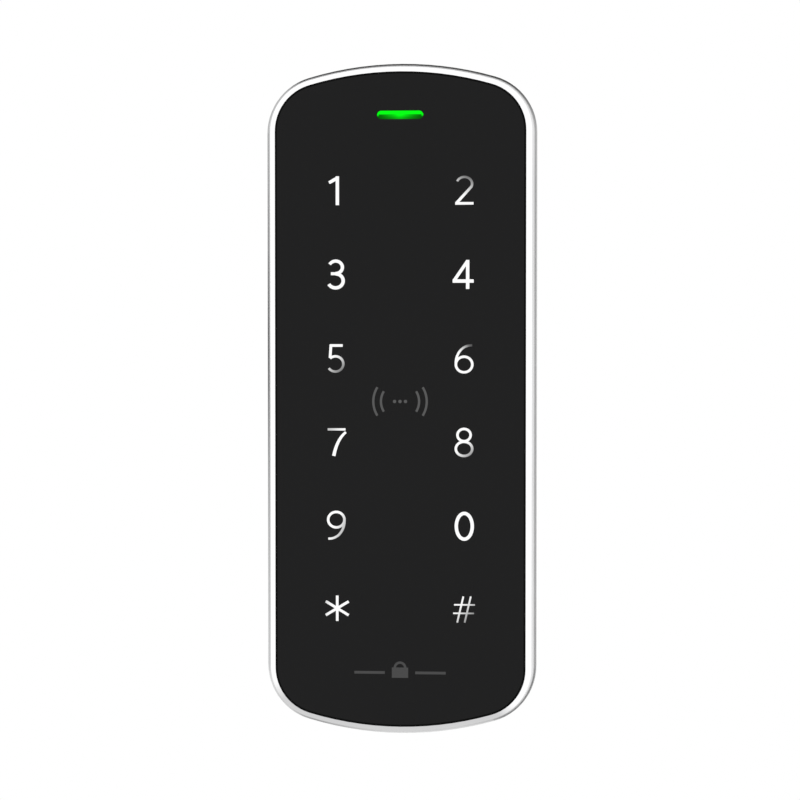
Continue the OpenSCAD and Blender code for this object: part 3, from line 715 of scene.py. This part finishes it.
def block(bm, low, high, rounding=0.0):
    """A block between two corners, with its edges rounded."""
    corners = [Vector((x, y, z))
               for x in (low[0], high[0]) for y in (low[1], high[1]) for z in (low[2], high[2])]
    verts = [bm.verts.new(corner) for corner in corners]
    faces = [bm.faces.new([verts[i] for i in ring]) for ring in
             ((0, 1, 3, 2), (4, 6, 7, 5), (0, 4, 5, 1), (2, 3, 7, 6), (0, 2, 6, 4), (1, 5, 7, 3))]
    if rounding:
        edges = list({edge for face in faces for edge in face.edges})
        bmesh.ops.bevel(bm, geom=edges, offset=rounding, segments=2, affect="EDGES", profile=0.5)


def solid_boxes(node_name):
    """Lowest and highest corner of each separate solid in a CAD node."""
    bm = bmesh.new()
    bm.from_mesh(nodes[node_name].data)
    bmesh.ops.remove_doubles(bm, verts=bm.verts, dist=0.01 * MM)
    left = set(bm.verts)
    boxes = set()
    while left:
        grown, queue = set(), [left.pop()]
        while queue:
            vert = queue.pop()
            grown.add(vert)
            for edge in vert.link_edges:
                other = edge.other_vert(vert)
                if other in left:
                    left.discard(other)
                    queue.append(other)
        low = [round(min(vert.co[i] for vert in grown), 5) for i in range(3)]
        high = [round(max(vert.co[i] for vert in grown), 5) for i in range(3)]
        boxes.add((*low, *high))
    bm.free()
    return [(Vector(box[:3]), Vector(box[3:])) for box in sorted(boxes)]


def make_end_caps():
    """Tinned ends on the chip resistors and capacitors."""
    bm = bmesh.new()
    skin, length, rounding = 0.03 * MM, 0.32 * MM, 0.05 * MM
    for low, high in solid_boxes("small_parts"):
        axis = 0 if high.x - low.x > high.z - low.z else 2
        for near in (True, False):
            start, end = low.copy(), high.copy()
            if near:
                end[axis] = low[axis] + length
            else:
                start[axis] = high[axis] - length
            block(bm, start - Vector((skin, 0, skin)), end + Vector((skin, skin, skin)), rounding)
    new_piece("chip_end_caps", bm, FINISHES["bright_tin"], "reader")


def make_pin_joints():
    """A cone of solder round each socket pin, on the front of the main board."""
    bm = bmesh.new()
    sides = 12
    turns = [2 * math.pi * k / sides for k in range(sides)]
    cone = [(0.72, -0.02), (0.66, 0.04), (0.42, 0.12), (0.28, 0.24), (0.2, 0.3)]
    for node_name, count in (("harness_pins", 10), ("power_pins", 5)):
        left, right, bottom, top = flat_span(node_name)
        z = (bottom + top) / 2
        for i in range(count):
            x = (left + right) / 2 + (i - (count - 1) / 2) * PIN_PITCH
            rings = [[spot(x + radius * math.cos(turn), BOARD_FRONT + rise, z + radius * math.sin(turn))
                      for turn in turns] for radius, rise in cone]
            join_rings(bm, rings, False)
    new_piece("pin_solder", bm, FINISHES["bright_tin"], "reader")


def make_windings():
    """Turns of enamelled wire laid round the antenna coil."""
    left, right, bottom, top = flat_span("antenna_coil")
    rear = -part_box("antenna_coil")[1].y / MM
    corner, wire, turns = 5.0, 0.09, 5
    first, pitch, sides = 0.12, 0.19, 6
    path = []
    for cx, cz, start in ((right - corner, top - corner, 0), (left + corner, top - corner, 90),
                          (left + corner, bottom + corner, 180), (right - corner, bottom + corner, 270)):
        steps = 8
        for i in range(steps + 1):
            angle = math.radians(start + 90 * i / steps)
            path.append((Vector((cx, cz)), Vector((math.cos(angle), math.sin(angle)))))
    bm = bmesh.new()
    for turn in range(turns):
        depth = rear + first + pitch * turn
        rings = []
        for centre, out in path:
            ring = []
            for k in range(sides):
                swing = 2 * math.pi * k / sides
                reach = corner + 0.02 + wire * math.cos(swing)
                place = centre + out * reach
                ring.append(spot(place.x, depth + wire * math.sin(swing), place.y))
            rings.append(ring)
        join_rings(bm, rings, True)
    new_piece("antenna_windings", bm, FINISHES["copper"], "reader")


def make_label_fields():
    """Blank ruled fields printed on the label."""
    left, right, bottom, top = flat_span("rating_label")
    rear = -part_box("rating_label")[1].y / MM
    bm = bmesh.new()
    rows, margin, half_rule = 6, 2.5, 0.12
    for i in range(rows):
        z = bottom + margin + i * (top - bottom - 2 * margin) / (rows - 1)
        end = right - 1.2 if i % 2 else right - 4.5
        block(bm, spot(left + 1.2, rear + 0.02, z - half_rule), spot(end, rear - 0.015, z + half_rule))
    print_black = cast_finish("label_print", (0.05, 0.05, 0.055), 0.0, 0.5, depth=MICRON)
    new_piece("label_fields", bm, print_black, "reader", smooth=False)


FOUR_WAYS = [Vector((1, 0)), Vector((0, 1)), Vector((-1, 0)), Vector((0, -1))]
make_leads("processor_leads", "processor", FOUR_WAYS, 11, 0.8)
make_leads("memory_leads", "memory_chip", [Vector((0, 1)), Vector((0, -1))], 4, 1.2)
make_end_caps()
make_pin_joints()
make_windings()
make_label_fields()


# ---------------------------------------------------------------- studio

# Brightness round the object, as (share of the turn, level). The turn starts at its left and goes by
# below, right and above.
SIDE_LEVELS = [(0.0, 1.1), (0.07, 1.05), (0.12, 0.68), (0.3, 0.68), (0.35, 1.1), (1.0, 1.1)]
BACK_LEVELS = [(0.0, 0.08), (0.035, 0.6), (0.07, 0.85), (0.15, 0.8), (0.19, 0.35), (0.225, 0.9),
               (0.265, 0.9), (0.29, 0.22), (0.42, 0.2), (0.47, 0.42), (0.56, 0.42), (0.64, 0.17),
               (0.69, 0.02), (0.83, 0.01), (0.87, 0.5), (0.96, 0.6), (1.0, 0.08)]
FRONT_LEVEL, STRAIGHT_BEHIND_LEVEL = 0.32, 0.85


def grey(level):
    return (level, level, level, 1.0)


def level_ramp(net, share, levels):
    """Brightness by the share of the turn round the object."""
    node = net.add("ShaderNodeValToRGB", Fac=share)
    stops = node.color_ramp.elements
    while len(stops) < len(levels):
        stops.new(0.5)
    for stop, (place, level) in zip(stops, levels):
        stop.position = place
        stop.color = grey(level)
    return node.outputs["Color"]


def studio_sky():
    """Plain white to the eye; polished faces see a dim front, bright sides and cards of greys behind."""
    world = bpy.data.worlds.new("studio")
    bpy.context.scene.world = world
    world.use_nodes = True
    tree = world.node_tree
    tree.nodes.clear()
    net = Net(tree)
    way = net.add("ShaderNodeTexCoord").outputs["Generated"]
    split = net.add("ShaderNodeSeparateXYZ", Vector=way).outputs
    turn = net.maths("ARCTAN2", split["Z"], split["X"])
    share = net.maths("DIVIDE", net.maths("ADD", turn, math.pi), 2 * math.pi)
    ahead = net.maths("MULTIPLY", split["Y"], -1.0)
    side = level_ramp(net, share, SIDE_LEVELS)
    back = level_ramp(net, share, BACK_LEVELS)
    behind = net.remap(split["Y"], 0.7, 0.8)
    open_side = net.maths("MULTIPLY", net.remap(split["X"], -0.2, -0.1), net.remap(split["Z"], 0.2, 0.1))
    straight_behind = net.maths("MULTIPLY", net.remap(split["Y"], 0.9, 0.95), open_side)
    round_about = net.blend(behind, side, back)
    round_about = net.blend(straight_behind, round_about, grey(STRAIGHT_BEHIND_LEVEL))
    front = net.remap(ahead, 0.35, 0.75)
    tone = net.blend(front, round_about, grey(FRONT_LEVEL))
    path = net.add("ShaderNodeLightPath").outputs
    plain = net.maths("MAXIMUM", path["Is Camera Ray"], path["Is Diffuse Ray"])
    tone = net.blend(plain, tone, grey(1.0))
    room = net.add("ShaderNodeBackground", Color=tone)
    out = net.add("ShaderNodeOutputWorld")
    net.feed(out, "0", room.outputs[0])
    scene = bpy.context.scene
    scene.view_settings.view_transform = "Standard"
    scene.view_settings.look = "None"


def softbox(name, place, size, power):
    """A square area lamp that faces the reader and isn't seen in gloss."""
    lamp = bpy.data.lights.new(name, "AREA")
    lamp.size = size
    lamp.energy = power
    holder = bpy.data.objects.new(name, lamp)
    holder.location = place
    holder.rotation_euler = (Vector((0, 0, 0)) - Vector(place)).to_track_quat("-Z", "Y").to_euler()
    holder.visible_glossy = False
    bpy.context.scene.collection.objects.link(holder)


def pale_floor():
    """A wide flat floor well under the reader."""
    mesh = bpy.data.meshes.new("floor")
    half, drop = 0.6, -0.3
    corners = [(x * half, y * half, drop) for x, y in ((-1, -1), (1, -1), (1, 1), (-1, 1))]
    mesh.from_pydata(corners, [], [(0, 1, 2, 3)])
    floor = bpy.data.objects.new("floor", mesh)
    bpy.context.scene.collection.objects.link(floor)
    mesh.materials.append(cast_finish("pale_floor_paint", (0.9, 0.9, 0.9), 0.0, 0.7, grain_size=4 * MM,
                                      depth=100 * MICRON, tone=0.01, tone_scale=2.0))
    floor.visible_glossy = False


studio_sky()
pale_floor()
softbox("top_softbox", (-0.5, -0.5, 1.1), 0.9, 6)
